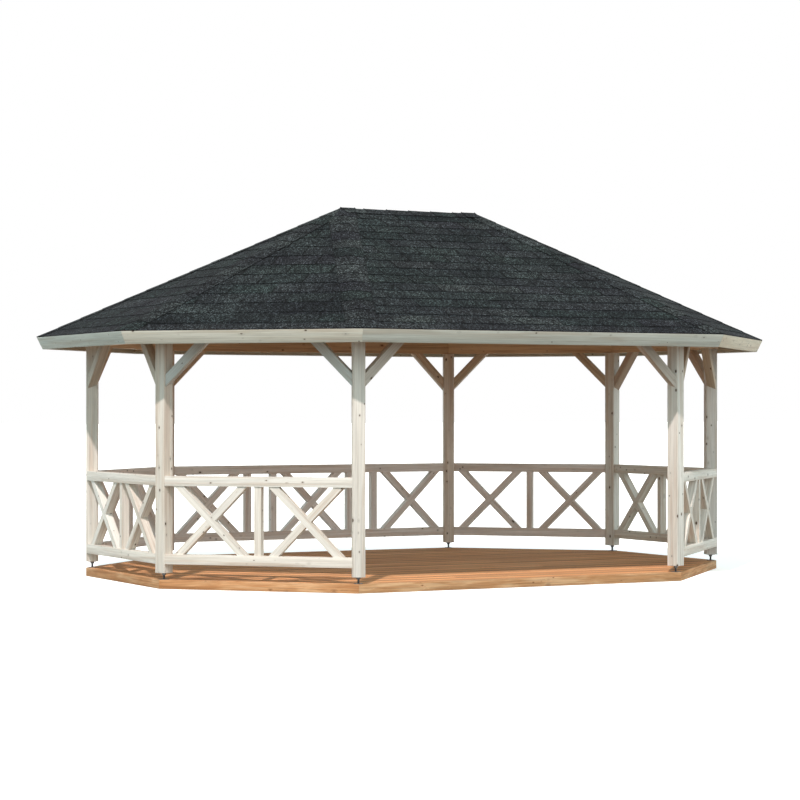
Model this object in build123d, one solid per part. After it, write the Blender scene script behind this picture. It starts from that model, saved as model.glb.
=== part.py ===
from build123d import *
import math
import os

# Stretched octagonal garden gazebo: timber deck, eight posts on steel feet, knee-braced
# wall plates, seven crossed railings, a hipped roof with a short ridge and leaning fascias.
# Millimetres, +Z up, X along the ridge, the entrance side faces -Y.

# plan
span = 4450.0             # across the post centres, front to back
extension = 1490.0        # length added along the ridge between the two half octagons

# deck
deck_height = 82.0
deck_margin = 56.0        # rim face beyond the post centre line
rim_thickness = 28.0
floor_thickness = 28.0
joist_width = 45.0
joist_pitch = 500.0

# posts and feet
post_size = 115.0
post_arris = 5.0
post_lift = 60.0          # gap between the deck and the underside of a post
foot_plate = 70.0
foot_plate_thickness = 4.0
foot_stem = 20.0          # diameter

# wall plates and knee braces
plate_underside = 2135.0  # above the deck
plate_height = 145.0
plate_width = 90.0
plate_outset = 70.0       # outer face beyond the post centre line
brace_drop = 390.0        # from the plate's underside to the brace's lower edge at the post
brace_size = 80.0
brace_width = 80.0
brace_outset = 60.0       # outer face beyond the post centre line

# railings
rail_thickness = 90.0
rail_outset = 70.0        # outer face beyond the post centre line
low_rail_bottom = 140.0   # above the deck
low_rail_height = 90.0
rail_clear = 612.0        # open height between the two rails
top_rail_height = 90.0
bar_thickness = 70.0      # crosses and pickets, centred in the rails
picket_width = 65.0
cross_width = 700.0
cross_bar_foot = 91.0     # width of a cross bar where it meets a rail
picket_slot = 230.0       # open slot between two pickets on the back railing

# roof
roof_pitch = 25.0         # degrees
eave_outset = 493.5       # top arris of the fascia beyond the post centre line
fascia_width = 125.0
fascia_thickness = 19.0
board_thickness = 19.0
shingle_thickness = 8.0
rafter_width = 60.0
rafter_heel = 116.5       # rafter standing above the plate's outer arris, plumb
rafter_seat = 14.5        # depth of the birdsmouth over that arris
ridge_width = 70.0
ridge_drop = 60.0         # ridge beam below the rafters' undersides
hub_margin = 2.5          # hub face beyond each edge of a hip rafter
hub_drop = 40.0           # hub below the ridge beam

SIDES = ["front", "right_front", "right", "right_back",
         "back", "left_back", "left", "left_front"]
CORNERS = ["front_left", "front_right", "right_front", "right_back",
           "back_right", "back_left", "left_back", "left_front"]

# worked out from the sizes above
half_turn = math.radians(180 / len(SIDES))
pitch = math.radians(roof_pitch)
half_ext = extension / 2
floor_z = deck_height - floor_thickness
post_foot_z = deck_height + post_lift
plate_z = deck_height + plate_underside
rafter_depth = rafter_heel + rafter_seat
board_drop = board_thickness / math.cos(pitch)
eave_z = (plate_z + plate_height + rafter_heel + board_drop
          - (eave_outset - plate_outset) * math.tan(pitch))
ridge_z = eave_z + (span / 2 + eave_outset) * math.tan(pitch)
rafter_top = ridge_z - board_drop
hub_radius = (rafter_width / 2 + hub_margin) / math.sin(half_turn)
hub_flat = half_ext - hub_radius * math.cos(2 * half_turn)


def corner(i, outset=0.0, z=0.0):
    """Corner i of the plan, moved out by outset. Side i runs from corner i to corner i + 1."""
    a = span / 2 + outset
    h = a * math.tan(half_turn)
    x, y = (h, a) if i % 4 < 2 else (a, h)
    sx = 1 if i % 8 in (1, 2, 3, 4) else -1
    sy = 1 if i % 8 in (3, 4, 5, 6) else -1
    return Vector(sx * (x + half_ext), sy * y, z)


def outward(i):
    """Unit vector out of side i. Side 0 is the front, which faces -Y."""
    return Vector(math.sin(2 * half_turn * i), -math.cos(2 * half_turn * i), 0)


def bisector(i):
    """Unit vector out of corner i, midway between its two sides."""
    return outward(i - 0.5)


def along(i):
    return (corner(i + 1) - corner(i)).normalized()


def side_length(i):
    return (corner(i + 1) - corner(i)).length


def is_long(i):
    return i % 4 == 0


def prism(points, height):
    """Level outline raised straight up."""
    return extrude(make_face(Polyline(points, close=True)), height, dir=(0, 0, 1))


def outline(outset, z, height):
    """Flat slab with the plan's outline."""
    return prism([corner(i, outset, z) for i in range(8)], height)


def mitred(i, inner, outer, z, height):
    """Straight timber along side i, mitred at both corners."""
    ends = [corner(i, outer, z), corner(i + 1, outer, z),
            corner(i + 1, inner, z), corner(i, inner, z)]
    return prism(ends, height)


def elevation(i, outset):
    """Plane of side i's elevation: x along the side, y up from the deck, z outwards."""
    return Plane(corner(i, 0, deck_height) + outward(i) * outset,
                 x_dir=along(i), z_dir=outward(i))


def between_posts(body, i, start=True, end=True):
    """Cut a timber of side i to seat on the faces of its posts."""
    for at, sign, wanted in ((i, 1, start), (i + 1, -1, end)):
        normal = outward(i) * math.sin(half_turn) + along(i) * (sign * math.cos(half_turn))
        if wanted:
            face = Plane(corner(at) + normal * (post_size / 2), z_dir=normal)
            body = split(body, bisect_by=face, keep=Keep.TOP)
    return body


def face_reach(outset):
    """Distance along a side from its corner to the post's face, at one outset."""
    return (post_size / 2 - outset * math.sin(half_turn)) / math.cos(half_turn)


# deck

def joists():
    under = outline(deck_margin - rim_thickness, 0, floor_z)
    count = int((span + extension) / 2 / joist_pitch)
    blank = Box(joist_width, 2 * span, 2 * floor_z)
    return [Pos(n * joist_pitch, 0, 0) * blank & under for n in range(-count, count + 1)]


# posts

def at_post(i, z):
    """Plane at corner i with x along the corner's bisector."""
    return Plane(corner(i, 0, z), x_dir=bisector(i), z_dir=(0, 0, 1))


def upright(width, depth, height):
    return Box(width, depth, height, align=(Align.CENTER, Align.CENTER, Align.MIN))


def post(i):
    body = at_post(i, post_foot_z) * upright(post_size, post_size, plate_underside - post_lift)
    return chamfer(body.edges().filter_by(Axis.Z), post_arris)


def foot(i):
    """Steel foot: a round stem between two square plates."""
    plate = upright(foot_plate, foot_plate, foot_plate_thickness)
    stem = Cylinder(foot_stem / 2, post_lift, align=(Align.CENTER, Align.CENTER, Align.MIN))
    body = plate + stem + Pos(0, 0, post_lift - foot_plate_thickness) * plate
    return at_post(i, deck_height) * body


# wall plates and braces

def wall_plate(i):
    return mitred(i, plate_outset - plate_width, plate_outset, plate_z, plate_height)


def brace(i, at_start):
    """Knee brace at 45 degrees, cut to seat on the post's face and under the plate."""
    middle = brace_outset - brace_width / 2
    toe = face_reach(middle) + brace_drop
    rise = brace_size * math.sqrt(2)
    top = plate_underside
    pts = [(0, top - toe), (toe, top), (toe - rise, top), (0, top - toe + rise)]
    if not at_start:
        pts = [(side_length(i) - x, y) for x, y in pts]
    face = elevation(i, brace_outset - brace_width) * make_face(Polyline(pts, close=True))
    return between_posts(extrude(face, brace_width, dir=outward(i)), i, at_start, not at_start)


# railings

def bar(x0, x1, y0, y1):
    return Pos((x0 + x1) / 2, (y0 + y1) / 2) * Rectangle(x1 - x0, y1 - y0)


def cross(x0, y0, y1):
    """Two bars that cross between the rails, one through and one cut to it."""
    x1 = x0 + cross_width
    rising = [(x0, y0), (x0 + cross_bar_foot, y0), (x1, y1), (x1 - cross_bar_foot, y1)]
    falling = [(x, y0 + y1 - y) for x, y in rising]
    return make_face(Polyline(rising, close=True)) + make_face(Polyline(falling, close=True))


def railing(i):
    """Railing of side i: two rails, crosses, and pickets between the crosses."""
    length = side_length(i)
    clear = length - 2 * face_reach(rail_outset - rail_thickness / 2)
    low = low_rail_bottom + low_rail_height
    high = low + rail_clear
    rails = bar(0, length, low_rail_bottom, low) + bar(0, length, high, high + top_rail_height)
    if is_long(i):
        pair = 2 * picket_width + picket_slot
        gap = (clear - 3 * cross_width - 2 * pair) / 6
        shift = cross_width + 2 * gap + pair
        inner = cross_width / 2 + gap + picket_width / 2
        crosses = [-shift, 0, shift]
        pickets = [side * at for side in (-1, 1) for at in (inner, inner + pair - picket_width)]
    else:
        gap = (clear - 2 * cross_width - picket_width) / 4
        shift = (picket_width + cross_width) / 2 + gap
        crosses = [-shift, shift]
        pickets = [0]
    bars = Sketch()
    for at in crosses:
        bars += cross(length / 2 + at - cross_width / 2, low, high)
    for at in pickets:
        centre = length / 2 + at
        bars += bar(centre - picket_width / 2, centre + picket_width / 2, low, high)
    inner_face = rail_outset - rail_thickness
    recess = (rail_thickness - bar_thickness) / 2
    body = (extrude(elevation(i, inner_face) * rails, rail_thickness, dir=outward(i))
            + extrude(elevation(i, inner_face + recess) * bars, bar_thickness, dir=outward(i)))
    return between_posts(body, i)


# roof: all eight slopes have the same pitch, so the hips lie plumb over the corners

def on_roof(run, depth):
    """Outset and height of a point: run up the slope from the eave, depth below it."""
    out = eave_outset - run * math.cos(pitch) - depth * math.sin(pitch)
    return out, eave_z + run * math.sin(pitch) - depth * math.cos(pitch)


def facet(i, run, depth):
    """Outline of side i's slope at one depth, starting run up from the eave."""
    out, z = on_roof(run, depth)
    end = half_ext if i < 4 else -half_ext
    ends = (end, -end) if is_long(i) else (end,)
    points = [corner(i, out, z), corner(i + 1, out, z)]
    points += [Vector(x, 0, ridge_z - depth / math.cos(pitch)) for x in ends]
    return Wire.make_polygon(points, close=True)


def roof_slab(i, run, top, bottom):
    """One slope of roof covering, square at the eave and mitred plumb along the hips."""
    return Solid.make_loft([facet(i, run, top), facet(i, run, bottom)], ruled=True)


def fascia(i):
    """Board square to the slope along the eave, mitred at both corners."""
    faces = []
    for run in (0, fascia_thickness):
        (top, top_z), (low, low_z) = on_roof(run, 0), on_roof(run, fascia_width)
        faces.append(Wire.make_polygon([corner(i, top, top_z), corner(i + 1, top, top_z),
                                        corner(i + 1, low, low_z), corner(i, low, low_z)],
                                       close=True))
    return Solid.make_loft(faces, ruled=True)


def under_boards(body, i):
    """Keep what lies below the roof boards of side i."""
    out, z = on_roof(0, board_thickness)
    up = outward(i) * math.sin(pitch) + Vector(0, 0, math.cos(pitch))
    return split(body, bisect_by=Plane(corner(i, out, z), z_dir=up), keep=Keep.BOTTOM)


def behind_fascia(body, i):
    out, z = on_roof(fascia_thickness, 0)
    down = outward(i) * math.cos(pitch) - Vector(0, 0, math.sin(pitch))
    return split(body, bisect_by=Plane(corner(i, out, z), z_dir=down), keep=Keep.BOTTOM)


def rafter(x, out, start, reach, fall, slopes):
    """Rafter running out from (x, 0): birdsmouthed over the plates, its tail cut level."""
    plane = Plane((x, 0, 0), x_dir=out, z_dir=out.cross(Vector(0, 0, 1)))
    tail_from = (rafter_top - rafter_depth - plate_z) / fall
    points = [(start, ridge_z), (reach, ridge_z - reach * fall), (reach, plate_z),
              (tail_from, plate_z), (start, rafter_top - rafter_depth - start * fall)]
    body = extrude(plane * make_face(Polyline(points, close=True)), rafter_width / 2, both=True)
    for i in slopes:
        body = behind_fascia(under_boards(body - wall_plate(i), i), i)
    return body


def hip_rafter(i):
    """Rafter from a ridge hub out over corner i."""
    x = math.copysign(half_ext, corner(i).X)
    reach = (span / 2 + eave_outset) / math.cos(half_turn)
    fall = math.tan(pitch) * math.cos(half_turn)
    start = hub_radius * math.cos(half_turn)
    return rafter(x, bisector(i), start, reach, fall, ((i - 1) % 8, i))


def common_rafter(i, x):
    """Rafter square to long side i, from the ridge beam to the eave."""
    return rafter(x, outward(i), ridge_width / 2, span / 2 + eave_outset, math.tan(pitch), (i,))


def ridge_beam():
    depth = rafter_depth + ridge_drop
    body = Pos(0, 0, rafter_top) * Box(2 * hub_flat, ridge_width, depth,
                                       align=(Align.CENTER, Align.CENTER, Align.MAX))
    return under_boards(under_boards(body, 0), 4)


def ridge_hub(end):
    """Block at one end of the ridge with a flat for the beam and one for each hip rafter."""
    depth = rafter_depth + ridge_drop + hub_drop
    body = Pos(end * half_ext, 0, rafter_top - depth) * extrude(
        RegularPolygon(hub_radius, len(SIDES)), depth)
    body = split(body, bisect_by=Plane((end * hub_flat, 0, 0), z_dir=(end, 0, 0)), keep=Keep.TOP)
    for i in range(0, 5) if end > 0 else (4, 5, 6, 7, 0):
        body = under_boards(body, i)
    return body


def shingles():
    covering = roof_slab(0, 0, -shingle_thickness, 0)
    for i in range(1, 8):
        covering = covering + roof_slab(i, 0, -shingle_thickness, 0)
    return covering


def save(name, shapes):
    solids = [solid for shape in shapes for solid in shape.solids()]
    whole = solids[0] if len(solids) == 1 else Compound(children=solids)
    whole.label = name
    export_step(whole, f"parts/{name}.step")


os.makedirs("parts", exist_ok=True)

rim_inset = deck_margin - rim_thickness
save("deck_floor", [outline(rim_inset, floor_z, floor_thickness)])
save("deck_joists", joists())
for group, members in (("long", (0, 4)), ("diagonal", (1, 3, 5, 7)), ("end", (2, 6))):
    save(f"deck_rim_{group}",
         [mitred(i, rim_inset, deck_margin, 0, deck_height) for i in members])
    save(f"wall_plates_{group}", [wall_plate(i) for i in members])
    save(f"knee_braces_{group}", [brace(i, first) for i in members for first in (True, False)])
    save(f"fascia_{group}", [fascia(i) for i in members])

for i, name in enumerate(CORNERS):
    save(f"post_{name}", [post(i)])
save("post_feet", [foot(i) for i in range(8)])

for i, name in enumerate(SIDES):
    save(f"roof_boards_{name}", [roof_slab(i, fascia_thickness, 0, board_thickness)])
    if name != "front":
        save(f"railing_{name}", [railing(i)])

save("hip_rafters_right", [hip_rafter(i) for i in (1, 2, 3, 4)])
save("hip_rafters_left", [hip_rafter(i) for i in (5, 6, 7, 0)])
save("common_rafters", [common_rafter(i, side * half_ext / 2) for i in (0, 4) for side in (-1, 1)])
save("ridge_beam", [ridge_beam()])
save("ridge_hubs", [ridge_hub(1), ridge_hub(-1)])
save("roof_shingles", [shingles()])
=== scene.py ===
import bpy
import bmesh
import math
import random
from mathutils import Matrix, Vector


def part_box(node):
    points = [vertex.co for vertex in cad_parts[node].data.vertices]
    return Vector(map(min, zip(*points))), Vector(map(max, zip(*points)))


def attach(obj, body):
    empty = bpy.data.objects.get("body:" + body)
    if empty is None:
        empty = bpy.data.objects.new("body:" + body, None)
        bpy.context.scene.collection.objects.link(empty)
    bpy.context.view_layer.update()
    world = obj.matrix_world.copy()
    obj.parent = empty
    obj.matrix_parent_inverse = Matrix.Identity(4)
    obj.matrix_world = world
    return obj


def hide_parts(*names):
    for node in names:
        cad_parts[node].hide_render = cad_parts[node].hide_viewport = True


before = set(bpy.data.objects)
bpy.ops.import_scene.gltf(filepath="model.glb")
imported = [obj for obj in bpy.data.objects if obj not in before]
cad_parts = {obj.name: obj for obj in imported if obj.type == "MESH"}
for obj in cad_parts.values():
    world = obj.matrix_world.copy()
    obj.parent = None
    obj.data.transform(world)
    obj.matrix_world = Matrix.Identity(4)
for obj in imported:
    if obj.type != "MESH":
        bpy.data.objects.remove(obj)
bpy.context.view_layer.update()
rng = random.Random(11)

# ---------------------------------------------------------------- sizes, in metres
HALF_TURN = math.pi / 8
PITCH = math.radians(25)
UP = Vector((0, 0, 1))
X_AXIS = Vector((1, 0, 0))
Y_AXIS = Vector((0, 1, 0))

POST = 0.115
PAINTED_ARRIS = 0.003     # rounded arrises of the sawn and planed timbers
POST_ARRIS = 0.0015
DECK_ARRIS = 0.003
FRAME_ARRIS = 0.0025
FOOT_ARRIS = 0.0008
ARRIS_ANGLE = 0.35        # an edge that turns by more than this, in radians, is an arris
HAIR = 1e-5               # points nearer than this are one

FLOOR_BOARD = 0.120
FLOOR_GAP = 0.006
BUTT_GAP = 0.002
SHORTEST_BOARD = 0.9
JOIST_PITCH = 0.500
SCREW_HEAD = 0.0045       # radius
SCREW_INSET = 0.024       # from a board's edge
SCREW_END = 0.012         # from a board's end
NEAR_END = 0.020          # a joist this near a board's end has its screws moved inwards
SCREW_RIM = 0.008         # wood left beside a head where the board is cut aslant
SCREW_PROFILE = ((-0.004, 0.002), (-0.0006, SCREW_HEAD), (0.0003, SCREW_HEAD),
                 (0.0003, 0.0018), (-0.0012, 0.0014))   # heights over the floor, radii
ROOF_BOARD = 0.121
ROOF_BOARD_GAP = 0.003
ROOF_BOARD_THICKNESS = 0.019
FASCIA_THICKNESS = 0.019

FOOT_PLATE = 0.070
FOOT_PLATE_THICKNESS = 0.004
FOOT_STEM = 0.010         # radius
THREAD_DEPTH = 0.0009
THREAD_PITCH = 0.003
FOOT_NUT = 0.018          # radius over the corners
FOOT_NUT_HEIGHT = 0.014
FOOT_NUT_CHAMFER = 0.93   # of the nut's radius, at its two ends
FOOT_WASHER = 0.020       # radius
FOOT_WASHER_HEIGHT = 0.003

RAIL_THICKNESS = 0.090
RAIL_OUTSET = 0.070       # outer face of a rail beyond the post centre line
LOW_RAIL_BOTTOM = 0.140   # heights above the deck
LOW_RAIL_TOP = 0.230
TOP_RAIL_BOTTOM = 0.842
TOP_RAIL_TOP = 0.932
BAR_THICKNESS = 0.070
PICKET = 0.065
CROSS = 0.700             # width of a cross between the rails
CROSS_FOOT = 0.091        # width of a bar's foot on a rail
PICKET_SLOT = 0.230
BAR_JOINT = 0.0008        # open joint where one bar is cut to the other

LONG_COURSE = 0.184       # shingle exposure on the two long slopes
SHORT_COURSE = 0.227      # and on the six short ones
FIRST_COURSE = 0.150      # the starter strip that shows below the lowest tabs
EAVE_INSET = 0.003        # shingles' edge behind the fascia's outer arris
TAB = 0.430
TAB_SLOT = 0.011
TAB_LAP = 0.030
TAB_THICKNESS = 0.0035
TAB_OVERRUN = 0.05        # courses start and end this far outside the eave, before clipping
TAB_STAGGER = 0.012       # most that a course is laid off its place
TAB_WARP = 0.0005         # most that a tab's lower edge lies off its height
SLIVER = 0.0005           # corners closer together than this are one
TAB_BUTT = 0.0068         # height of a tab's lower edge over the roof boards
TAB_HEAD = 0.0018
SLOT_SHADE_TINT = -0.1               # tint of the black sheet under each course: painted shade that darkens the slots
NEW_TINT = 0.45           # chance that a tab starts another shade
TINT_SPREAD = 0.08        # most that a tab departs from its run's shade
SHEET_RIM = 0.65          # how bare a sheet's cut edge is
WORN_AND_SHADED_EDGE = 0.008         # strip along a shingle's lower edge and sides that is darker: granules worn off, and painted shade along the course and slot lines
CAP_WIDTH = 0.140         # each side of a hip
CAP_EXPOSURE = 0.230
CAP_LAP = 0.040
CAP_BUTT = 0.0115
CAP_HEAD = 0.0072
END_CAP = 0.150
CAP_BEND = 0.016          # half the width of the bend over a fold line
CAP_OVERRUN = 0.2         # the lowest cap starts this far outside the eave, before clipping
CAP_GAP = 0.0005          # between an end cap and the caps below it
CAP_TINTS = (0.54, 0.70, 0.86, 1.0, 0.95)

# painted light and shade: colours that multiply the timber's own, by side or by post, for how
# light falls on each
PLAIN = (1.0, 1.0, 1.0)
# painted shade: the fascias darkened and tinted by side, for how light falls on each side
FASCIA_SIDE_SHADE = {"front": (0.73, 0.77, 0.76), "left_front": (0.92, 0.94, 0.91),
                "left": (0.68, 0.76, 0.77), "right_front": (0.93, 0.88, 0.77),
                "other": (0.86, 0.88, 0.85)}
# painted shade: some posts darkened or browned for the shade and warm bounce light under the roof
POST_SHADE = {"post_back_left": (0.98, 0.91, 0.875), "post_back_right": (0.98, 0.91, 0.875),
              "post_right_front": (0.87, 0.87, 0.89), "post_front_left": (0.94, 0.95, 0.96)}
# painted shade: the braces darkened and browned by side, for the shade under the roof
BRACE_SIDE_SHADE = {"left_front": (0.77, 0.84, 0.89), "back": (0.92, 0.80, 0.70),
               "left_back": (0.91, 0.80, 0.66), "right_back": (0.83, 0.72, 0.61),
               "left": (0.72, 0.69, 0.645), "right": (0.78, 0.66, 0.58),
               "right_front": (0.64, 0.54, 0.44), "other": (0.72, 0.69, 0.67)}
# painted light: the back railings lightened, for the light on their inner faces
BACK_RAIL_PAINTED_LIGHT = (1.08, 1.03, 1.06)
# painted light and shade: the rim lightened or darkened by side, for how light falls on each side
RIM_SIDE_LIGHT_AND_SHADE = {"front": (0.975, 0.885, 0.81), "left_front": (1.18, 1.01, 0.90),
             "other": (1.06, 0.93, 0.85)}

SUN_ENERGY = 2.95
SUN_COLOUR = (1.0, 0.88, 0.83)
SUN_ANGLE = 1.6           # degrees
SUN_AZIMUTH = 232.2       # degrees from +X towards +Y
SUN_ELEVATION = 52.5
SKY_COLOUR = (0.805, 1.0, 0.995)
SKY_HORIZON = 1.22        # strength at the horizon
SKY_ZENITH = 0.60         # and overhead
FLOOR_COLOUR = (0.92, 0.92, 0.92)
FLOOR_BOUNCE = (0.205, 0.185, 0.16)   # what the floor sends back to the object
FILL_ENERGY = 0.57
FILL_COLOUR = (1.0, 0.88, 0.85)
FILL_ANGLE = 70
FILL_AZIMUTH = 292
FILL_ELEVATION = 15
FLOOR_GLOW = 0.45         # lifts the floor's shadow in the picture only
CAMERA_LENS = 109.3
CAMERA_PLACE = (-11.192, -21.278, 1.632)
CAMERA_YAW = 0.4807
CAMERA_TILT = 0.0029

LONG = ("front", "back")
SIDES = ["front", "right_front", "right", "right_back",
         "back", "left_back", "left", "left_front"]
CORNERS = ["front_left", "front_right", "right_front", "right_back",
           "back_right", "back_left", "left_back", "left_front"]

floor_low, floor_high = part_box("deck_floor")
rim_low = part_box("deck_rim_long")[0]


# ---------------------------------------------------------------- node materials
class Material:
    """A node material being built. Each helper adds a node and returns its output."""

    def __init__(self, name, roughness, specular, metallic=0.0):
        self.mat = bpy.data.materials.new(name)
        self.mat.use_nodes = True
        self.nodes = self.mat.node_tree.nodes
        self.shader = self.nodes["Principled BSDF"]
        self.shader.inputs["Roughness"].default_value = roughness
        self.shader.inputs["Specular IOR Level"].default_value = specular
        self.shader.inputs["Metallic"].default_value = metallic

    def feed(self, socket, value):
        if isinstance(value, bpy.types.NodeSocket):
            self.mat.node_tree.links.new(value, socket)
        elif isinstance(value, tuple) and socket.type == "RGBA":
            socket.default_value = (*value, 1)
        else:
            socket.default_value = value

    def attribute(self, name, output="Fac"):
        node = self.nodes.new("ShaderNodeAttribute")
        node.attribute_name = name
        return node.outputs[output]

    def place(self):
        return self.nodes.new("ShaderNodeTexCoord").outputs["Object"]

    def mapped(self, source, scale):
        node = self.nodes.new("ShaderNodeMapping")
        node.inputs["Scale"].default_value = scale
        self.feed(node.inputs["Vector"], source)
        return node.outputs["Vector"]

    def noise(self, vector, scale=1.0, detail=3.0, roughness=0.55, distortion=0.0):
        node = self.nodes.new("ShaderNodeTexNoise")
        self.feed(node.inputs["Vector"], vector)
        for name, value in (("Scale", scale), ("Detail", detail), ("Roughness", roughness),
                            ("Distortion", distortion)):
            node.inputs[name].default_value = value
        return node.outputs["Fac"]

    def cells(self, vector, scale=1.0):
        """Distance to the nearest cell's middle, and that cell's random colour."""
        node = self.nodes.new("ShaderNodeTexVoronoi")
        node.inputs["Scale"].default_value = scale
        self.feed(node.inputs["Vector"], vector)
        return node.outputs["Distance"], node.outputs["Color"]

    def channel(self, colour, index):
        node = self.nodes.new("ShaderNodeSeparateColor")
        self.feed(node.inputs["Color"], colour)
        return node.outputs[index]

    def ramp(self, factor, *stops):
        node = self.nodes.new("ShaderNodeValToRGB")
        elements = node.color_ramp.elements
        while len(elements) < len(stops):
            elements.new(0.5)
        for element, (position, value) in zip(elements, stops):
            element.position = position
            element.color = (*value, 1) if isinstance(value, tuple) else (value, value, value, 1)
        self.feed(node.inputs["Fac"], factor)
        return node.outputs["Color"]

    def mix(self, blend, factor, first, second):
        node = self.nodes.new("ShaderNodeMix")
        node.data_type = "RGBA"
        node.blend_type = blend
        self.feed(node.inputs["Factor"], factor)
        self.feed(node.inputs[6], first)
        self.feed(node.inputs[7], second)
        return node.outputs[2]

    def maths(self, operation, first, second=0.0):
        node = self.nodes.new("ShaderNodeMath")
        node.operation = operation
        self.feed(node.inputs[0], first)
        self.feed(node.inputs[1], second)
        return node.outputs["Value"]

    def push(self, vector, amount, offset):
        """vector + amount * offset"""
        node = self.nodes.new("ShaderNodeVectorMath")
        node.operation = "MULTIPLY_ADD"
        self.feed(node.inputs[0], amount)
        node.inputs[1].default_value = offset
        self.feed(node.inputs[2], vector)
        return node.outputs["Vector"]

    def colour(self, value):
        self.feed(self.shader.inputs["Base Color"], value)

    def bump(self, height, distance, strength=0.6):
        node = self.nodes.new("ShaderNodeBump")
        node.inputs["Strength"].default_value = strength
        node.inputs["Distance"].default_value = distance
        self.feed(node.inputs["Height"], height)
        self.feed(self.shader.inputs["Normal"], node.outputs["Normal"])


def timber(name, dark, mid, pale, knot, spread, lines=0.10, fibre=0.10, knots=0.7,
           knot_grid=(8.5, 14.0, 14.0), halo=0.40, knot_size=1.0,
           streak=0.85, roughness=0.62, specular=0.25, relief=0.0006):
    """Softwood whose grain runs along the first axis of the grain attribute, in metres.

    spread holds the tints of the darkest and the palest timber, lines and fibre say how much
    the growth rings and the fibres darken it, knots is the share of knots that show,
    knot_grid how many there are to a metre each way, halo how dark their surrounds are,
    knot_size how large they are in that grid, and streak how many streaks of colour follow
    each other along a metre."""
    m = Material(name, roughness, specular)
    place = m.attribute("grain", "Vector")

    # knots, with the grain bent round them
    near, cell = m.cells(m.mapped(place, knot_grid))
    size = m.maths("ADD", m.maths("MULTIPLY", m.channel(cell, 1), 1.6), 0.75)
    reach = m.maths("MULTIPLY", near, size)
    shown = m.ramp(m.channel(cell, 0), (knots, 1.0), (knots + 0.001, 0.0))

    def round_knots(inner, outer, most):
        """Most inside the inner radius of each knot that shows, none past the outer."""
        spot = m.ramp(reach, (inner * knot_size, most), (outer * knot_size, 0.0))
        return m.mix("MULTIPLY", 1.0, spot, shown)

    swirl = m.mix("MULTIPLY", 1.0, m.ramp(reach, (0.0, 1.0), (0.32, 0.0)), shown)
    bent = m.push(place, swirl, (0.0, 0.009, 0.009))

    figure = m.noise(m.mapped(bent, (streak, 21.0, 21.0)), 1.0, 3.0, 0.55, 0.45)
    rings = m.noise(m.mapped(bent, (1.3, 95.0, 95.0)), 1.0, 2.0, 0.5, 0.2)
    fibres = m.noise(m.mapped(bent, (7.0, 330.0, 330.0)), 1.0, 3.0, 0.6)
    wood = m.ramp(figure, (0.36, dark), (0.50, mid), (0.62, pale))
    wood = m.mix("MULTIPLY", 1.0, wood, m.ramp(rings, (0.36, 1 - 2 * lines), (0.60, 1.0)))
    wood = m.mix("MULTIPLY", 1.0, wood, m.ramp(fibres, (0.34, 1 - 2 * fibre), (0.62, 1.0)))
    wood = m.mix("MULTIPLY", 1.0, wood, m.ramp(m.attribute("tint"), (0.0, spread[0]),
                                               (1.0, spread[1])))
    # painted light and shade: the colour by side or by part that darkens or lightens the timber
    # for how light falls on it
    wood = m.mix("MULTIPLY", 1.0, wood, m.attribute("painted_shading", "Color"))

    wood = m.mix("MULTIPLY", round_knots(0.09, 0.22, halo), wood, knot)
    heart = round_knots(0.062, 0.100, 1.0)
    m.colour(m.mix("MIX", heart, wood, knot))

    height = m.maths("ADD", fibres, m.maths("MULTIPLY", rings, 1.4))
    m.bump(m.maths("SUBTRACT", height, m.maths("MULTIPLY", heart, 0.6)), relief)
    return m.mat


def bitumen(name):
    """Granulated shingles: each has its own tint of anthracite, green or violet grey.

    The grain attribute is a shingle's own place: across from its middle, up from its lower
    edge, and a number of its own. half is half its width, and edge says how bare it is, or marks
    the black sheets of painted shade under the slots."""
    m = Material(name, 0.95, 0.10)
    own = m.attribute("grain", "Vector")
    tab = m.ramp(m.attribute("tint"), (0.00, (0.0160, 0.0200, 0.0225)),
                 (0.18, (0.0235, 0.0275, 0.0310)), (0.36, (0.0180, 0.0250, 0.0262)),
                 (0.54, (0.0290, 0.0335, 0.0368)), (0.70, (0.0215, 0.0285, 0.0292)),
                 (0.86, (0.0245, 0.0268, 0.0315)), (1.00, (0.0325, 0.0375, 0.0395)))
    drift = m.ramp(m.noise(m.place(), 1.9, 3.0, 0.6), (0.32, (0.56, 0.55, 0.60)),
                   (0.50, (0.90, 0.92, 0.92)), (0.68, (1.38, 1.44, 1.36)))
    colour = m.mix("MULTIPLY", 1.0, tab, drift)

    # mineral granules: pale ones scattered among dark ones, over single grains
    granule = m.channel(m.cells(m.mapped(own, (125.0, 74.0, 60.0)))[1], 0)
    colour = m.mix("MULTIPLY", 1.0, colour, m.ramp(granule, (0.0, 0.08), (0.35, 0.32),
                                                   (0.60, 0.75), (0.85, 1.40), (1.0, 3.4)))
    grain_height, grain = m.cells(own, 420.0)
    colour = m.mix("MULTIPLY", 1.0, colour, m.ramp(m.channel(grain, 0), (0.0, 0.55), (0.6, 0.95),
                                                   (1.0, 1.9)))

    # darker along the lower edge and beside the slots: granules worn off, and painted shade that
    # marks the course and slot lines
    split = m.nodes.new("ShaderNodeSeparateXYZ")
    m.feed(split.inputs["Vector"], own)
    aside = m.maths("SUBTRACT", m.attribute("half"), m.maths("ABSOLUTE", split.outputs["X"]))
    inset = m.maths("MINIMUM", aside, split.outputs["Y"])
    worn_and_shaded = m.ramp(m.maths("MULTIPLY", inset, 1 / WORN_AND_SHADED_EDGE), (0.25, 0.58), (1.0, 1.0))
    colour = m.mix("MULTIPLY", 1.0, colour, worn_and_shaded)
    # bare bitumen at cut rims, and black painted shade on the sheets under the slots
    colour = m.mix("MIX", m.attribute("edge"), colour, (0.0045, 0.0048, 0.0052))
    m.colour(colour)
    m.bump(grain_height, 0.0012, 0.6)
    return m.mat


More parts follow.
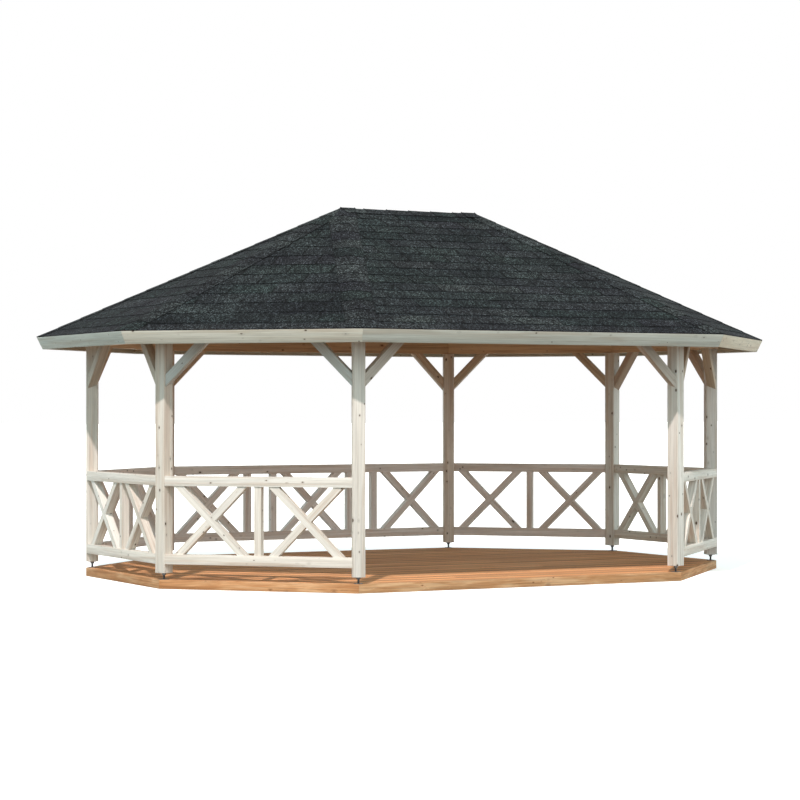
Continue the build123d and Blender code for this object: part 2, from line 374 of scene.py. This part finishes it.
def steel(name):
    """Galvanised steel, dulled, with its spangle."""
    m = Material(name, 0.5, 0.5, 0.85)
    place = m.place()
    spangle = m.cells(place, 120.0)[1]
    m.colour(m.ramp(m.channel(spangle, 0), (0.0, (0.10, 0.10, 0.10)), (1.0, (0.19, 0.19, 0.19))))
    m.feed(m.shader.inputs["Roughness"], m.ramp(m.noise(place, 60.0), (0.3, 0.36), (0.7, 0.58)))
    return m.mat


painted = timber("painted_timber", (0.735, 0.66, 0.585), (0.84, 0.81, 0.755),
                 (0.90, 0.88, 0.835), (0.10, 0.065, 0.042), ((0.95, 0.91, 0.875), PLAIN),
                 lines=0.07, fibre=0.07, knots=0.62, knot_grid=(10.5, 17.0, 17.0), halo=0.15,
                 knot_size=1.6)
decking = timber("deck_timber", (0.63, 0.305, 0.146), (0.90, 0.455, 0.215), (0.96, 0.55, 0.28),
                 (0.16, 0.06, 0.03), ((0.66, 0.65, 0.64), (1.12, 1.10, 1.07)),
                 lines=0.14, fibre=0.08, knots=0.3, roughness=0.75, specular=0.10, relief=0.0008)
rimwood = timber("rim_timber", (0.53, 0.31, 0.16), (0.63, 0.41, 0.235), (0.75, 0.545, 0.35),
                 (0.13, 0.045, 0.02), ((0.84, 0.79, 0.75), (1.05, 1.03, 1.0)),
                 lines=0.14, fibre=0.11, knots=0.9, knot_grid=(7.0, 11.0, 11.0), streak=2.4,
                 roughness=0.72, specular=0.12, relief=0.0008)
framing = timber("frame_timber", (0.58, 0.39, 0.25), (0.78, 0.57, 0.38), (0.88, 0.67, 0.47),
                 (0.15, 0.07, 0.035), ((0.82, 0.80, 0.78), (1.0, 1.0, 1.0)),
                 lines=0.08, fibre=0.07, knots=0.5, roughness=0.7, specular=0.15)
shingle = bitumen("bitumen_shingle")
galvanised = steel("foot_steel")


# ---------------------------------------------------------------- mesh building
def clean_parts(node):
    """The CAD node's solids with their flat faces whole, one bmesh each."""
    bm = bmesh.new()
    bm.from_mesh(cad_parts[node].data)
    bmesh.ops.remove_doubles(bm, verts=bm.verts, dist=HAIR)
    bmesh.ops.dissolve_limit(bm, angle_limit=0.002, verts=bm.verts, edges=bm.edges)
    seen = set()
    parts = []
    for start in bm.verts:
        if start in seen:
            continue
        island, stack = [], [start]
        seen.add(start)
        while stack:
            vert = stack.pop()
            island.append(vert)
            for edge in vert.link_edges:
                other = edge.other_vert(vert)
                if other not in seen:
                    seen.add(other)
                    stack.append(other)
        part = bmesh.new()
        twin = {v: part.verts.new(v.co) for v in island}
        for face in dict.fromkeys(f for v in island for f in v.link_faces):
            part.faces.new([twin[v] for v in face.verts])
        part.normal_update()
        parts.append(part)
    bm.free()
    return parts


def longest_edge(bm):
    edge = max(bm.edges, key=lambda e: e.calc_length())
    return (edge.verts[1].co - edge.verts[0].co).normalized()


def set_tint(bm, value):
    tint = bm.verts.layers.float.new("tint")
    for vert in bm.verts:
        vert[tint] = value


def set_painted_shading(bm, colour):
    """Painted light and shade: how this timber's colour is darkened or lightened from the rest,
    for how light falls on it.
    """
    painted_shading = bm.verts.layers.float_vector.new("painted_shading")
    for vert in bm.verts:
        vert[painted_shading] = colour


def add_grain(bm, along, value=None, painted_shading=PLAIN):
    """Grain coordinates in metres, along the timber first, shifted so no two timbers match."""
    set_painted_shading(bm, painted_shading)
    grain = bm.verts.layers.float_vector.new("grain")
    side = (along.orthogonal() if abs(along.z) > 0.99 else along.cross(UP)).normalized()
    third = along.cross(side).normalized()
    shift = Vector((rng.uniform(0, 40), rng.uniform(0, 40), rng.uniform(0, 40)))
    for vert in bm.verts:
        local = Vector((vert.co.dot(along), vert.co.dot(side), vert.co.dot(third)))
        vert[grain] = local + shift
    set_tint(bm, rng.random() if value is None else value)


def soften(bm, width):
    """Round the arrises over which the surface turns."""
    edges = [e for e in bm.edges if len(e.link_faces) == 2 and e.calc_face_angle() > ARRIS_ANGLE]
    bmesh.ops.bevel(bm, geom=edges, offset=width, segments=2, profile=0.6, affect="EDGES",
                    clamp_overlap=True)


def piece(name, parts, mat, replaced=(), smooth=40):
    """One object from several bmeshes, riding on the building."""
    whole = bmesh.new()
    for part in parts:
        pairs = [(layer, getattr(whole.verts.layers, kind)) for kind in ("float_vector", "float")
                 for layer in getattr(part.verts.layers, kind).values()]
        pairs = [(layer, kind.get(layer.name) or kind.new(layer.name)) for layer, kind in pairs]
        faces = [(layer, whole.faces.layers.float.get(layer.name)
                  or whole.faces.layers.float.new(layer.name))
                 for layer in part.faces.layers.float.values()]
        twin = {}
        for vert in part.verts:
            new = whole.verts.new(vert.co)
            for layer, target in pairs:
                new[target] = vert[layer]
            twin[vert] = new
        for face in part.faces:
            new = whole.faces.new([twin[v] for v in face.verts])
            for layer, target in faces:
                new[target] = face[layer]
        part.free()
    bmesh.ops.recalc_face_normals(whole, faces=whole.faces)
    mesh = bpy.data.meshes.new(name)
    whole.to_mesh(mesh)
    whole.free()
    obj = bpy.data.objects.new(name, mesh)
    bpy.context.scene.collection.objects.link(obj)
    mesh.materials.append(mat)
    if smooth:
        mesh.shade_smooth()
        mesh.set_sharp_from_angle(angle=math.radians(smooth))
    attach(obj, "root")
    if replaced:
        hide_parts(*replaced)
    return obj


def dressed(node, mat, width, along=None, shadings=None):
    """The node's own timbers, with rounded arrises and grain along each.

    shadings names the colour by which each side's timber is multiplied: painted light and shade
    for how light falls on that side."""
    parts = clean_parts(node)
    for part in parts:
        # painted light and shade, by the side that the timber lies along
        painted_shading = shadings.get(side_of(part), shadings["other"]) if shadings else PLAIN
        add_grain(part, along or longest_edge(part), None, painted_shading)
        soften(part, width)
    return piece(node + "_timber", parts, mat, [node])


def side_of(part):
    """Name of the side of the plan that a timber lies along."""
    middle = sum((v.co for v in part.verts), Vector()) / len(part.verts)
    return SIDES[max(range(8), key=lambda i: (middle - corner(i)).dot(side_axes(i)[2]))]


def slab(points, offset):
    """Closed slab between an outline and the same outline moved by offset."""
    bm = bmesh.new()
    low = [bm.verts.new(p) for p in points]
    high = [bm.verts.new(Vector(p) + offset) for p in points]
    bm.faces.new(low[::-1])
    bm.faces.new(high)
    for a, b, c, d in zip(low, low[1:] + low[:1], high[1:] + high[:1], high):
        bm.faces.new((a, b, c, d))
    return bm


def lathe(centre, rings, sides, turn=0.0):
    """Closed upright solid from rings of (height, radius)."""
    bm = bmesh.new()
    loops = []
    for height, radius in rings:
        angles = [turn + 2 * math.pi * n / sides for n in range(sides)]
        loops.append([bm.verts.new(centre + Vector((math.cos(a) * radius, math.sin(a) * radius,
                                                    height))) for a in angles])
    bm.faces.new(loops[0][::-1])
    bm.faces.new(loops[-1])
    for low, high in zip(loops, loops[1:]):
        for a, b, c, d in zip(low, low[1:] + low[:1], high[1:] + high[:1], high):
            bm.faces.new((a, b, c, d))
    return bm


def clip(points, normal, limit):
    """The part of a flat outline where point . normal <= limit."""
    kept = []
    for a, b in zip(points, points[1:] + points[:1]):
        da, db = a.dot(normal) - limit, b.dot(normal) - limit
        if da <= 0:
            kept.append(a)
        if (da < 0 < db) or (db < 0 < da):
            kept.append(a.lerp(b, da / (da - db)))
    return kept


def span_of(points, direction):
    reach = [p.dot(direction) for p in points]
    return min(reach), max(reach)


def top_face(node):
    """Corners of the upward face of a one-piece slab."""
    (part,) = clean_parts(node)
    face = max(part.faces, key=lambda f: f.calc_area() if f.normal.z > 0.1 else 0)
    return [v.co.copy() for v in face.verts], face.normal.copy()


def strips(outline, across, width, gap):
    """Split an outline into strips side by side, with a gap between each two."""
    low, high = span_of(outline, across)
    count = max(1, round((high - low) / width))
    step = (high - low) / count
    for n in range(count):
        start = low + n * step
        strip = clip(clip(outline, -across, -(start + gap / 2)), across, start + step - gap / 2)
        if len(strip) > 2:
            yield strip


# ---------------------------------------------------------------- deck
def deck():
    """Floor boards in staggered lengths, screwed to the joists, inside the rim."""
    outline = top_face("deck_floor")[0]
    thickness = floor_high.z - floor_low.z
    planks, screws = [], []
    for n, strip in enumerate(strips(outline, Y_AXIS, FLOOR_BOARD, FLOOR_GAP)):
        low, high = span_of(strip, X_AXIS)
        joint = (n * 3 % 7 - 3) * JOIST_PITCH
        joints = [joint] if low + SHORTEST_BOARD < joint < high - SHORTEST_BOARD else []
        for start, end in zip([low] + joints, joints + [high]):
            board = clip(strip, -X_AXIS, -(start + BUTT_GAP / 2 * (start != low)))
            board = clip(board, X_AXIS, end - BUTT_GAP / 2 * (end != high))
            plank = slab(board, -UP * thickness)
            add_grain(plank, X_AXIS, 0.5 * (n % 2) + rng.uniform(0, 0.5))
            soften(plank, DECK_ARRIS)
            planks.append(plank)
            screws += deck_screws(board, start, end)
    piece("deck_boards", planks, decking, ["deck_floor"])
    piece("deck_screws", screws, galvanised, smooth=0)
    dressed("deck_joists", rimwood, FRAME_ARRIS)
    for group in ("long", "diagonal", "end"):
        # painted light and shade on the rim, by side
        dressed(f"deck_rim_{group}", rimwood, DECK_ARRIS, None, RIM_SIDE_LIGHT_AND_SHADE)


def deck_screws(board, start, end):
    """Two countersunk heads where a board crosses each joist."""
    low, high = span_of(board, Y_AXIS)
    heads = []
    first = math.ceil((start + SCREW_END) / JOIST_PITCH)
    last = math.floor((end - SCREW_END) / JOIST_PITCH)
    for n in range(first, last + 1):
        x = n * JOIST_PITCH
        x += SCREW_END * ((abs(start - x) < NEAR_END) - (abs(end - x) < NEAR_END))
        for y in (low + SCREW_INSET, high - SCREW_INSET):
            inside = clip(clip(board, X_AXIS, x), -X_AXIS, -x + 0.001)
            near, far = span_of(inside, Y_AXIS) if inside else (y, y)
            if near + SCREW_RIM < y < far - SCREW_RIM:
                heads.append(lathe(Vector((x, y, floor_high.z)), SCREW_PROFILE, 8))
    return heads


# ---------------------------------------------------------------- frame
def structure():
    for name in list(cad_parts):
        if name.startswith("post_") and name != "post_feet":
            # painted shade on some posts
            shading = POST_SHADE.get(name, PLAIN)
            dressed(name, painted, POST_ARRIS, UP, {"other": shading})
        elif name.startswith("fascia_"):
            # painted shade on the fascias, by side
            dressed(name, painted, PAINTED_ARRIS, None, FASCIA_SIDE_SHADE)
        elif name.startswith("knee_braces_"):
            # painted shade on the braces, by side
            dressed(name, painted, PAINTED_ARRIS, None, BRACE_SIDE_SHADE)
        elif name.startswith(("wall_plates_", "hip_rafters_", "common_rafters", "ridge_beam")):
            dressed(name, framing, FRAME_ARRIS)
        elif name == "ridge_hubs":
            dressed(name, framing, FRAME_ARRIS, UP)


def corner(i):
    """Corner i of the plan through the post centres, read off the posts' boxes."""
    low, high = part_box("post_" + CORNERS[i % 8])
    return Vector(((low.x + high.x) / 2, (low.y + high.y) / 2, 0))


def side_axes(i):
    """Start corner, direction, outward direction and length of side i."""
    start, end = corner(i), corner(i + 1)
    along = (end - start).normalized()
    return start, along, along.cross(UP), (end - start).length


def feet():
    """Each post stands on a threaded stem with a nut and washer, between two plates."""
    low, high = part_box("post_feet")
    parts = []
    for i in range(8):
        base = corner(i) + UP * low.z
        bisector = (side_axes(i)[2] + side_axes(i - 1)[2]).normalized()
        across = bisector.cross(UP)
        half = FOOT_PLATE / 2
        square = [base + bisector * a * half + across * b * half
                  for a, b in ((-1, -1), (1, -1), (1, 1), (-1, 1))]
        tall = high.z - low.z
        for height in (0.0, tall - FOOT_PLATE_THICKNESS):
            plate = slab([p + UP * height for p in square], UP * FOOT_PLATE_THICKNESS)
            soften(plate, FOOT_ARRIS)
            parts.append(plate)
        thread = [(0.002, FOOT_STEM)]
        height = FOOT_PLATE_THICKNESS + 0.004
        while height < tall - FOOT_PLATE_THICKNESS - THREAD_PITCH:
            thread += [(height, FOOT_STEM), (height + THREAD_PITCH / 2, FOOT_STEM - THREAD_DEPTH)]
            height += THREAD_PITCH
        thread += [(tall - 0.002, FOOT_STEM)]
        parts.append(lathe(base, thread, 20))
        top = tall - FOOT_PLATE_THICKNESS
        seat = top - FOOT_WASHER_HEIGHT
        narrow = FOOT_NUT * FOOT_NUT_CHAMFER
        nut = [(seat - FOOT_NUT_HEIGHT, narrow), (seat - FOOT_NUT_HEIGHT + 0.002, FOOT_NUT),
               (seat - 0.002, FOOT_NUT), (seat, narrow)]
        parts.append(lathe(base, nut, 6, rng.uniform(0, 1)))
        parts.append(lathe(base, [(seat, FOOT_WASHER), (top + 0.001, FOOT_WASHER)], 24))
    piece("post_feet_steel", parts, galvanised, ["post_feet"], smooth=30)


def face_reach(outset):
    """Distance along a side from its corner to the post's face, at one outset."""
    return (POST / 2 - outset * math.sin(HALF_TURN)) / math.cos(HALF_TURN)


def cut_by_posts(bm, i):
    """Trim a railing timber to the faces of its two posts."""
    start, along, out, length = side_axes(i)
    for at, sign in ((start, 1), (start + along * length, -1)):
        normal = out * math.sin(HALF_TURN) + along * (sign * math.cos(HALF_TURN))
        geometry = bm.verts[:] + bm.edges[:] + bm.faces[:]
        cut = bmesh.ops.bisect_plane(bm, geom=geometry, plane_co=at + normal * POST / 2,
                                     plane_no=normal, clear_inner=True)
        edges = [e for e in cut["geom_cut"] if isinstance(e, bmesh.types.BMEdge)]
        if edges:
            bmesh.ops.contextual_create(bm, geom=edges)


def infill(i, length):
    """Middles of the crosses and of the pickets, measured from the middle of the side."""
    clear = length - 2 * face_reach(RAIL_OUTSET - RAIL_THICKNESS / 2)
    if SIDES[i] in LONG:
        pair = 2 * PICKET + PICKET_SLOT
        gap = (clear - 3 * CROSS - 2 * pair) / 6
        shift = CROSS + 2 * gap + pair
        first = CROSS / 2 + gap + PICKET / 2
        pickets = [s * at for s in (-1, 1) for at in (first, first + pair - PICKET)]
        return [-shift, 0, shift], pickets
    gap = (clear - 2 * CROSS - PICKET) / 4
    shift = (PICKET + CROSS) / 2 + gap
    return [-shift, shift], [0]


def railing(i):
    """Two rails with crosses and pickets let into the middle of their thickness."""
    start, along, out, length = side_axes(i)
    deck_z = floor_high.z
    low, high = deck_z + LOW_RAIL_TOP, deck_z + TOP_RAIL_BOTTOM
    inner, outer = RAIL_OUTSET - RAIL_THICKNESS, RAIL_OUTSET
    recess = (RAIL_THICKNESS - BAR_THICKNESS) / 2
    # painted light on the back railings
    shading = BACK_RAIL_PAINTED_LIGHT if "back" in SIDES[i] else PLAIN
    parts = []

    def length_of_timber(corners, near, far, direction, trim=False):
        part = slab([start + along * u + UP * z + out * near for u, z in corners],
                    out * (far - near))
        if trim:
            cut_by_posts(part, i)
        add_grain(part, direction, None, shading)
        soften(part, PAINTED_ARRIS)
        parts.append(part)

    for z0, z1 in ((deck_z + LOW_RAIL_BOTTOM, low), (high, deck_z + TOP_RAIL_TOP)):
        length_of_timber([(0, z0), (length, z0), (length, z1), (0, z1)], inner, outer, along, True)

    near, far = inner + recess, outer - recess
    crosses, pickets = infill(i, length)
    for at in pickets:
        u0, u1 = length / 2 + at - PICKET / 2, length / 2 + at + PICKET / 2
        length_of_timber([(u0, low), (u1, low), (u1, high), (u0, high)], near, far, UP)
    for at in crosses:
        u0, u1 = length / 2 + at - CROSS / 2, length / 2 + at + CROSS / 2
        through = [(u1, low), (u1 - CROSS_FOOT, low), (u0, high), (u0 + CROSS_FOOT, high)]
        rising = [Vector(p) for p in ((u0, low), (u0 + CROSS_FOOT, low), (u1, high),
                                      (u1 - CROSS_FOOT, high))]
        lean = Vector((u0 + CROSS_FOOT - u1, high - low)).normalized()
        length_of_timber(through, near, far, along * lean.x + UP * lean.y)
        across = Vector((lean.y, -lean.x))
        sides = [Vector(p).dot(across) for p in through[:2]]
        for half in (clip(rising, -across, -(sides[0] + BAR_JOINT)),
                     clip(rising, across, sides[1] - BAR_JOINT)):
            length_of_timber(half, near, far, along * -lean.x + UP * lean.y)
    piece(f"railing_{SIDES[i]}_timber", parts, painted,
          [f"railing_{SIDES[i]}"])


# ---------------------------------------------------------------- roof
class Slope:
    """One slope of the roof, read from its boards' solid."""

    def __init__(self, side):
        outline, self.normal = top_face(f"roof_boards_{side}")
        self.outline = outline
        self.upslope = (UP - self.normal * self.normal.z).normalized()
        self.along = self.upslope.cross(self.normal)
        eave_z = min(p.z for p in outline)
        self.eave = sorted((p for p in outline if p.z < eave_z + 1e-3),
                           key=lambda p: p.dot(self.along))
        self.ridge = sorted((p for p in outline if p.z > eave_z + 1e-3),
                            key=lambda p: p.dot(self.along))
        self.edge = self.eave[0].dot(self.upslope) - FASCIA_THICKNESS + EAVE_INSET

    def hips(self):
        """Outward normals of the two hip lines, within the slope."""
        left = (self.ridge[0] - self.eave[0]).cross(self.normal).normalized()
        right = (self.ridge[-1] - self.eave[1]).cross(self.normal).normalized()
        return (left if left.dot(self.along) < 0 else -left,
                right if right.dot(self.along) > 0 else -right)


def roof_boards(side, slope):
    drop = -UP * (ROOF_BOARD_THICKNESS / math.cos(PITCH))
    parts = []
    for strip in strips(slope.outline, slope.upslope, ROOF_BOARD, ROOF_BOARD_GAP):
        part = slab(strip, drop)
        add_grain(part, slope.along)
        parts.append(part)
    piece(f"roof_boards_{side}_timber", parts, framing,
          [f"roof_boards_{side}"], smooth=0)


def own_place(bm, middle, across, up, half):
    """A shingle's own coordinates, and half its width."""
    grain = bm.verts.layers.float_vector.new("grain")
    width = bm.verts.layers.float.new("half")
    number = rng.uniform(0, 9)
    for vert in bm.verts:
        local = vert.co - middle
        vert[grain] = (local.dot(across), local.dot(up), number)
        vert[width] = half


def thin_sheet(points, heights, slope, tint, thickness, middle, half):
    """Sheet of shingle over a flat outline, its upper face lifted to the given heights."""
    lifted = [p + slope.normal * h for p, h in zip(points, heights)]
    part = slab([p - slope.normal * thickness for p in lifted], slope.normal * thickness)
    own_place(part, middle, slope.along, slope.upslope, half)
    set_tint(part, abs(tint))
    # a negative tint marks a black sheet of painted shade
    mark_edges(part, slope.normal, tint < 0)
    return part


def mark_edges(bm, normal, shade_sheet=False):
    """Mark how far bare bitumen shows: all over a black sheet of painted shade, in part at any
    sheet's rim.
    """
    bm.normal_update()
    edge = bm.faces.layers.float.new("edge")
    for face in bm.faces:
        upright = abs(face.normal.dot(normal)) < 0.6
        face[edge] = 1.0 if shade_sheet else SHEET_RIM if upright else 0.0


def tabs(side, slope):
    """Courses of tabs, each lapping the course below, clipped at the hips."""
    origin = slope.eave[0] - slope.upslope * slope.eave[0].dot(slope.upslope) \
        - slope.along * slope.eave[0].dot(slope.along)
    left, right = (p.dot(slope.along) for p in slope.eave)
    low, high = left - TAB_OVERRUN, right + TAB_OVERRUN
    end = slope.ridge[0].dot(slope.upslope)
    step = LONG_COURSE if side in LONG else SHORT_COURSE
    parts = []

    def lay(u0, u1, s0, s1, butt, head, tint, thickness=TAB_THICKNESS):
        outline = [slope.along * u + slope.upslope * s + origin
                   for u, s in ((u0, s0), (u1, s0), (u1, s1), (u0, s1))]
        for hip, foot in zip(slope.hips(), slope.eave):
            outline = clip(outline, hip, foot.dot(hip))
            outline = [p for p, q in zip(outline, outline[1:] + outline[:1])
                       if (p - q).length > SLIVER]
            if len(outline) < 3:
                return
        heights = [butt + (head - butt) * (p.dot(slope.upslope) - s0) / (s1 - s0) for p in outline]
        middle = slope.along * (u0 + u1) / 2 + slope.upslope * s0 + origin
        parts.append(thin_sheet(outline, heights, slope, tint, thickness, middle, (u1 - u0) / 2))

    # underlay to the ridge, then the starter strip that shows below the lowest tabs
    lay(low, high, slope.edge, end, TAB_THICKNESS, TAB_HEAD - 0.0006, 0.1)
    lay(low, high, slope.edge, slope.edge + FIRST_COURSE + TAB_LAP, TAB_BUTT, TAB_HEAD, 0.9)
    s = slope.edge + FIRST_COURSE
    course = 1
    walk = rng.random()
    while s < end:
        top = min(s + step + TAB_LAP, end + 0.001)
        # a black sheet of painted shade under the course, seen through its slots
        if s + 0.02 < end:
            lay(low, high, s + 0.003, min(s + step, end), TAB_BUTT - TAB_THICKNESS,
                TAB_HEAD + 0.0005, SLOT_SHADE_TINT, 0.001)
        shift = (left + right) / 2 + (course % 2) * TAB / 2 \
            + rng.uniform(-TAB_STAGGER, TAB_STAGGER)
        for n in range(math.floor((low - shift) / TAB), math.ceil((high - shift) / TAB)):
            if rng.random() < NEW_TINT:
                walk = rng.random()
            tint = min(1.0, max(0.0, walk + rng.uniform(-TINT_SPREAD, TINT_SPREAD)))
            u0 = shift + n * TAB + TAB_SLOT / 2
            lay(u0, u0 + TAB - TAB_SLOT, s, top, TAB_BUTT + rng.uniform(-TAB_WARP, TAB_WARP),
                TAB_HEAD, tint)
        s += step
        course += 1
    return parts


def cap(base, direction, near, far, halves, heights):
    """One shingle bent over a fold line: halves are (slope, limits) for its two sides."""
    bm = bmesh.new()
    first, second = halves[0][0].normal, halves[1][0].normal
    ridge_lift = (first + second).normalized()
    ridge_lift /= ridge_lift.dot(first)
    for n, (slope, limits) in enumerate(halves):
        across = direction.cross(slope.normal).normalized()
        if across.dot(halves[1 - n][0].normal) > 0:
            across = -across
        outline = [base + direction * near, base + direction * near + across * CAP_WIDTH,
                   base + direction * far + across * CAP_WIDTH, base + direction * far]
        for plane, limit in limits:
            outline = clip(outline, plane, limit)
        top, under = [], []
        for p in outline:
            share = ((p - base).dot(direction) - near) / (far - near)
            height = heights[0] + (heights[1] - heights[0]) * share
            lift = slope.normal if (p - base).dot(across) > HAIR else ridge_lift
            top.append(bm.verts.new(p + lift * height))
            under.append(bm.verts.new(p + lift * (height - TAB_THICKNESS)))
        bm.faces.new(top)
        bm.faces.new(under[::-1])
        for k in range(len(outline)):
            j = (k + 1) % len(outline)
            if max((outline[i] - base).dot(across) for i in (k, j)) > HAIR:
                bm.faces.new((under[k], under[j], top[j], top[k]))
    bmesh.ops.remove_doubles(bm, verts=bm.verts, dist=HAIR)
    bmesh.ops.recalc_face_normals(bm, faces=bm.faces)
    across = direction.cross(ridge_lift).normalized()
    half = CAP_WIDTH * ridge_lift.normalized().dot(first)
    own_place(bm, base + direction * near, across, direction, half)
    set_tint(bm, rng.choice(CAP_TINTS))
    mark_edges(bm, ridge_lift.normalized())
    folds = [e for e in bm.edges if len(e.link_faces) == 2 and e.calc_face_angle() > 0.1
             and all(abs(f.normal.dot(ridge_lift)) > 0.6 for f in e.link_faces)]
    bmesh.ops.bevel(bm, geom=folds, offset=CAP_BEND, segments=3, affect="EDGES",
                    clamp_overlap=True)
    return bm


def closest_pair(first, second):
    return min(((a, b) for a in first for b in second), key=lambda ab: (ab[0] - ab[1]).length)[0]


def folds_from(slope, tip):
    """Directions of the two fold lines of a slope that leave one corner of its ridge."""
    ends = slope.eave
    if len(slope.ridge) == 2:
        n = min((0, 1), key=lambda k: (slope.ridge[k] - tip).length)
        ends = [slope.eave[n], slope.ridge[1 - n]]
    return [(p - tip).normalized() for p in ends]


def mitre(tip, slope, line):
    """Limit halfway between a fold line that leaves tip and the slope's other one there."""
    line = line.normalized()
    other = min(folds_from(slope, tip), key=lambda d: d.dot(line))
    away = (other - line).normalized()
    return away, tip.dot(away)


def hip_caps(slopes):
    """Caps up each hip, flush with both eaves, trimmed where they meet at the ridge's end."""
    parts = []
    for n, side in enumerate(SIDES):
        pair = (slopes[side], slopes[SIDES[(n + 1) % 8]])
        foot = closest_pair(pair[0].eave, pair[1].eave)
        tip = closest_pair(pair[0].ridge, pair[1].ridge)
        hip = (tip - foot).normalized()
        foot = foot - hip * ((foot.dot(pair[0].upslope) - pair[0].edge) / hip.dot(pair[0].upslope))
        halves = [(slope, [(-slope.upslope, -slope.edge), mitre(tip, slope, foot - tip)])
                  for slope in pair]
        length = (tip - foot).length
        count = round(length / CAP_EXPOSURE)
        step = length / count
        for k in range(count):
            near = -CAP_OVERRUN if k == 0 else k * step
            far = min(length, (k + 1) * step + CAP_LAP)
            slant = (CAP_HEAD - CAP_BUTT) / (step + CAP_LAP)
            start = CAP_BUTT + slant * (near - k * step)
            parts.append(cap(foot, hip, near, far, halves, (start, start + slant * (far - near))))
    return parts


def ridge_caps(slopes):
    """Caps along the ridge, with a short one laid over each end."""
    start, end = slopes["front"].ridge
    line = (end - start).normalized()
    length = (end - start).length
    halves = [(slopes[side], [mitre(start, slopes[side], line), mitre(end, slopes[side], -line)])
              for side in LONG]
    count = round(length / CAP_EXPOSURE)
    step = length / count
    parts = []
    for k in range(count):
        far = min(length, (k + 1) * step + CAP_LAP)
        parts.append(cap(start, line, k * step, far, halves, (CAP_BUTT, CAP_HEAD)))
    whole = [(slopes[side], []) for side in LONG]
    for near in (-EAVE_INSET, length - END_CAP + EAVE_INSET):
        level = CAP_BUTT + TAB_THICKNESS + CAP_GAP
        parts.append(cap(start, line, near, near + END_CAP, whole, (level, level)))
    return parts


def roof():
    slopes = {side: Slope(side) for side in SIDES}
    for side in SIDES:
        roof_boards(side, slopes[side])
    for side in SIDES:
        covering = piece(f"shingles_{side}", tabs(side, slopes[side]), shingle,
                         smooth=0)
        if side == SIDES[0]:
            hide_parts("roof_shingles")
    piece("hip_caps", hip_caps(slopes), shingle, smooth=50)
    piece("ridge_caps", ridge_caps(slopes), shingle, smooth=50)


# ---------------------------------------------------------------- studio
def seen_directly(nodes, links):
    """1 for rays from the camera, off metal or through glass, 0 for rays that light things."""
    path = nodes.new("ShaderNodeLightPath")
    total = path.outputs["Is Camera Ray"]
    for name in ("Is Glossy Ray", "Is Transmission Ray"):
        larger = nodes.new("ShaderNodeMath")
        larger.operation = "MAXIMUM"
        links.new(total, larger.inputs[0])
        links.new(path.outputs[name], larger.inputs[1])
        total = larger.outputs["Value"]
    return total


def studio_floor():
    bpy.ops.mesh.primitive_plane_add(size=400)
    floor = bpy.context.object
    floor.name = "studio_floor"
    floor.location.z = rim_low.z - 0.001
    m = Material("studio_floor", 1.0, 0.0)
    links = m.mat.node_tree.links
    seen = seen_directly(m.nodes, links)
    m.colour(m.mix("MIX", seen, FLOOR_BOUNCE, FLOOR_COLOUR))
    m.feed(m.shader.inputs["Emission Color"], (1.0, 1.0, 1.0))
    m.feed(m.shader.inputs["Emission Strength"], m.maths("MULTIPLY", seen, FLOOR_GLOW))
    floor.data.materials.append(m.mat)


def sky():
    world = bpy.data.worlds.new("studio")
    bpy.context.scene.world = world
    world.use_nodes = True
    nodes, links = world.node_tree.nodes, world.node_tree.links
    back = nodes["Background"]
    back.inputs["Color"].default_value = (*SKY_COLOUR, 1)
    place = nodes.new("ShaderNodeTexCoord")
    split = nodes.new("ShaderNodeSeparateXYZ")
    links.new(place.outputs["Generated"], split.inputs["Vector"])
    fade = nodes.new("ShaderNodeMapRange")
    fade.inputs["To Min"].default_value = SKY_HORIZON
    fade.inputs["To Max"].default_value = SKY_ZENITH
    links.new(split.outputs["Z"], fade.inputs["Value"])
    links.new(fade.outputs["Result"], back.inputs["Strength"])
    white = nodes.new("ShaderNodeBackground")
    white.inputs["Color"].default_value = (1, 1, 1, 1)
    white.inputs["Strength"].default_value = 1.0
    either = nodes.new("ShaderNodeMixShader")
    links.new(seen_directly(nodes, links), either.inputs["Fac"])
    links.new(back.outputs["Background"], either.inputs[1])
    links.new(white.outputs["Background"], either.inputs[2])
    links.new(either.outputs["Shader"], nodes["World Output"].inputs["Surface"])


def lamp(name, energy, colour, width, azimuth, elevation):
    light = bpy.data.objects.new(name, bpy.data.lights.new(name, "SUN"))
    light.data.energy = energy
    light.data.color = colour
    light.data.angle = math.radians(width)
    around, above = math.radians(azimuth), math.radians(elevation)
    towards = Vector((math.cos(around) * math.cos(above), math.sin(around) * math.cos(above),
                      math.sin(above)))
    light.rotation_euler = towards.to_track_quat("Z", "Y").to_euler()
    bpy.context.scene.collection.objects.link(light)


def camera():
    eye = bpy.data.objects.new("camera", bpy.data.cameras.new("camera"))
    eye.data.sensor_width = 36
    eye.data.lens = CAMERA_LENS
    eye.data.clip_end = 500
    eye.location = CAMERA_PLACE
    eye.rotation_euler = (math.pi / 2 + CAMERA_TILT, 0, -CAMERA_YAW)
    bpy.context.scene.collection.objects.link(eye)
    bpy.context.scene.camera = eye


deck()
structure()
feet()
for index in range(1, 8):
    railing(index)
roof()
studio_floor()
sky()
lamp("sun", SUN_ENERGY, SUN_COLOUR, SUN_ANGLE, SUN_AZIMUTH, SUN_ELEVATION)
lamp("fill", FILL_ENERGY, FILL_COLOUR, FILL_ANGLE, FILL_AZIMUTH, FILL_ELEVATION)
camera()
bpy.context.scene.view_settings.view_transform = "Standard"
